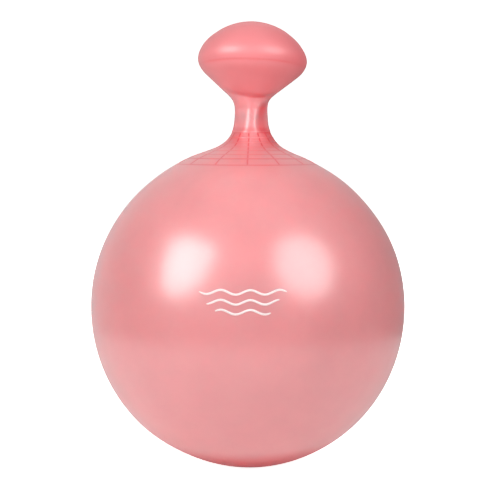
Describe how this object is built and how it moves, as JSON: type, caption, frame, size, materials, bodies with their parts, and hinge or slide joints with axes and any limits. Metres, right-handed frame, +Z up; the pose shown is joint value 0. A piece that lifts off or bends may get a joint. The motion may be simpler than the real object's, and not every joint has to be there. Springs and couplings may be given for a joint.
{
  "type": "exercise ball",
  "caption": "Inflatable soft vinyl exercise ball standing on its base, with a ribbed shoulder, a flexible narrow neck, a mushroom-shaped grip knob and a push-in air valve at the back.",
  "frame": {"origin": "on the floor, at the middle of the ball's flat resting patch", "axes": "+Z up through the neck and the knob; +Y towards the air valve at the back; -Y towards the printed front"},
  "size_m": [0.25, 0.2498, 0.3516],
  "materials": {
    "skin": "satin pearl, soft moulded vinyl",
    "valve_seat": "satin",
    "valve_plug": "satin",
    "print": "satin white ink"
  },
  "bodies": {
    "ball": {"ball_skin": "skin", "valve_seat": "valve_seat"},
    "neck": {"neck_skin": "skin"},
    "knob": {"grip_knob": "skin"},
    "plug": {"valve_plug": "valve_plug"}
  },
  "joints": [
    {"name": "neck_bend_side", "type": "hinge", "parent": "ball", "child": "neck", "pos_m": [0, 0, 0.2715], "axis": [0, 1, 0], "range_deg": [-35, 35], "stiffness_Nm_per_rad": 1.2, "deforming": ["neck_skin"]},
    {"name": "neck_bend_fore", "type": "hinge", "parent": "neck", "child": "knob", "pos_m": [0, 0, 0.2835], "axis": [1, 0, 0], "range_deg": [-35, 35], "stiffness_Nm_per_rad": 1.2, "deforming": ["neck_skin"]},
    {"name": "valve_plug_pull", "type": "slide", "parent": "ball", "child": "plug", "axis": [0, 1, 0], "range_m": [0, 0.02]}
  ]
}
